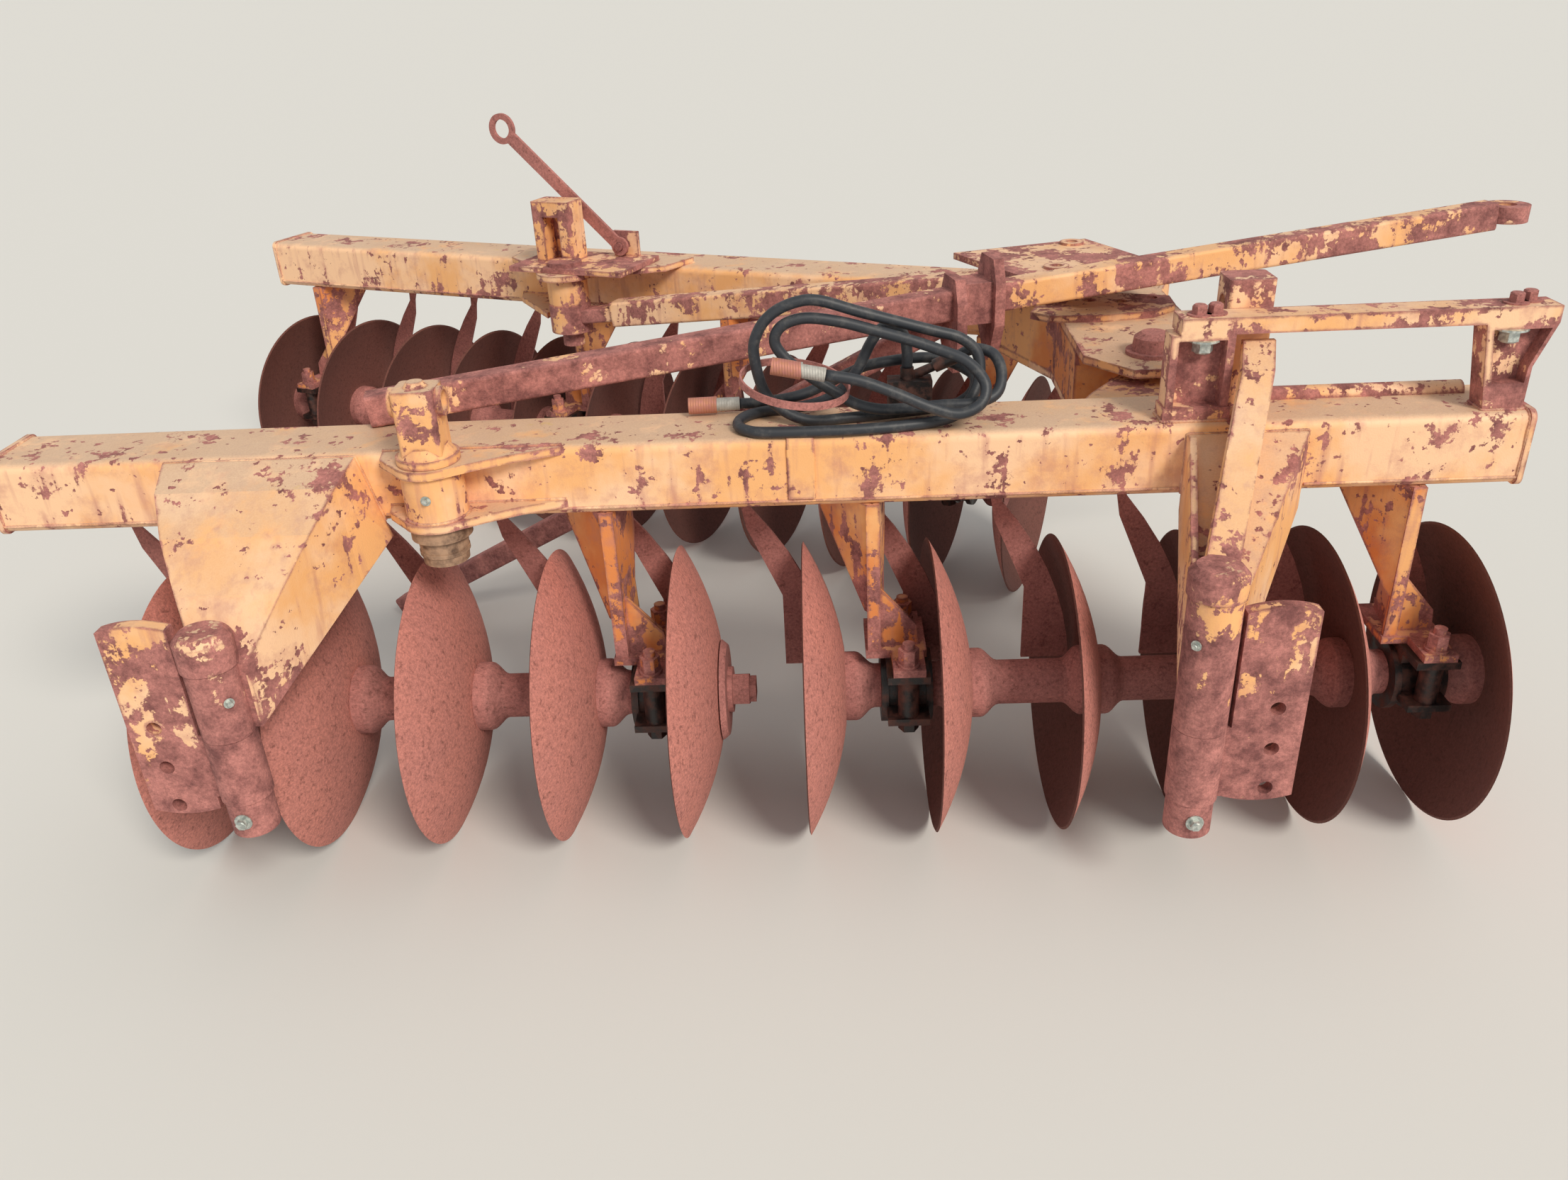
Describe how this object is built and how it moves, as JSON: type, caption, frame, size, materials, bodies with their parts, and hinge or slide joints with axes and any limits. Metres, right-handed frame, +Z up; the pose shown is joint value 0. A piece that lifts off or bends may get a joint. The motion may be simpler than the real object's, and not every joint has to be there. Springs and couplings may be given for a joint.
{
  "type": "offset disc harrow",
  "caption": "Trailed offset disc harrow: two box beams in a V carry gangs of dished discs, with hinge plates, pivots, a quadrant and the drawbar stowed on top.",
  "frame": {"origin": "on the ground under the middle of the machine's footprint", "axes": "+X along the front beam, to the right in the picture; +Y from the front beam towards the rear beam; +Z up"},
  "size_m": [3.5346, 2.7159, 1.293],
  "materials": {
    "faded_paint": "faded, chipped and rusted",
    "shaded_paint": "chipped and rusted",
    "disc_rust": "rusty",
    "greasy_iron": "greasy and dirty",
    "hose_rubber": "dusty"
  },
  "bodies": {
    "front_frame": {"front_beam": "faded_paint", "front_hangers": "shaded_paint", "front_bearings": "greasy_iron", "front_scrapers": "shaded_paint", "left_bracket": "faded_paint", "right_bracket": "faded_paint", "mast": "faded_paint", "top_bar": "faded_paint", "front_pivot": "faded_paint", "pivot_boot": "greasy_iron", "apex_lugs": "shaded_paint", "hose_rail": "shaded_paint", "tongue_bar": "faded_paint", "tongue_clamp": "shaded_paint", "tongue_legs": "faded_paint", "hose_block": "greasy_iron", "hose_ring": "disc_rust", "hose_one": "hose_rubber", "hose_two": "hose_rubber", "coupling_one": "disc_rust", "coupling_two": "disc_rust"},
    "rear_frame": {"rear_beam": "faded_paint", "rear_elbow": "shaded_paint", "apex_plates": "faded_paint", "apex_pin": "disc_rust", "quadrant": "faded_paint", "box_arm": "faded_paint", "rear_pivot": "faded_paint", "rear_hangers": "shaded_paint", "rear_bearings": "greasy_iron", "rear_scrapers": "shaded_paint"},
    "front_left_gang": {"front_left_discs": "disc_rust", "front_left_axle": "greasy_iron"},
    "front_right_gang": {"front_right_discs": "disc_rust", "front_right_axle": "greasy_iron"},
    "rear_left_gang": {"rear_left_discs": "disc_rust", "rear_left_axle": "greasy_iron"},
    "rear_right_gang": {"rear_right_discs": "disc_rust", "rear_right_axle": "greasy_iron"},
    "left_hinge_plate": {"left_leaf": "faded_paint"},
    "right_hinge_plate": {"right_leaf": "faded_paint"},
    "front_swivel": {"swivel_post": "faded_paint"},
    "rear_swivel": {"swivel_head": "faded_paint"},
    "latch": {"latch_lever": "shaded_paint"}
  },
  "joints": [
    {"name": "v_hinge", "type": "hinge", "parent": "front_frame", "child": "rear_frame", "pos_m": [0.8643, -0.59105, 0.872], "axis": [0, 0, 1], "range_deg": [-6, 6]},
    {"name": "front_left_roll", "type": "hinge", "parent": "front_frame", "child": "front_left_gang", "pos_m": [-0.6257, -0.93605, 0.305], "axis": [1, 0, 0], "continuous": true},
    {"name": "front_right_roll", "type": "hinge", "parent": "front_frame", "child": "front_right_gang", "pos_m": [0.7743, -0.93605, 0.305], "axis": [1, 0, 0], "continuous": true},
    {"name": "rear_left_roll", "type": "hinge", "parent": "rear_frame", "child": "rear_left_gang", "pos_m": [-1.09551, 0.85815, 0.305], "axis": [0.9239, -0.3827, 0], "continuous": true},
    {"name": "rear_right_roll", "type": "hinge", "parent": "rear_frame", "child": "rear_right_gang", "pos_m": [0.19792, 0.32239, 0.305], "axis": [0.9239, -0.3827, 0], "continuous": true},
    {"name": "left_plate_hinge", "type": "hinge", "parent": "front_frame", "child": "left_hinge_plate", "pos_m": [-0.9077, -1.30805, 0.4], "axis": [0, 0, 1], "range_deg": [-5, 95]},
    {"name": "right_plate_hinge", "type": "hinge", "parent": "front_frame", "child": "right_hinge_plate", "pos_m": [0.8143, -1.30805, 0.4], "axis": [0, 0, -1], "range_deg": [-5, 95]},
    {"name": "front_post_swivel", "type": "hinge", "parent": "front_frame", "child": "front_swivel", "pos_m": [-0.5557, -1.02005, 0.872], "axis": [0, 0, 1], "range_deg": [-90, 90]},
    {"name": "rear_head_swivel", "type": "hinge", "parent": "rear_frame", "child": "rear_swivel", "pos_m": [-0.55302, 0.40397, 0.872], "axis": [0, 0, 1], "range_deg": [-20, 20]},
    {"name": "latch_swing", "type": "hinge", "parent": "rear_swivel", "child": "latch", "pos_m": [-0.39896, 0.48845, 0.933], "axis": [0.3827, 0.9239, 0], "range_deg": [-15, 30]}
  ]
}
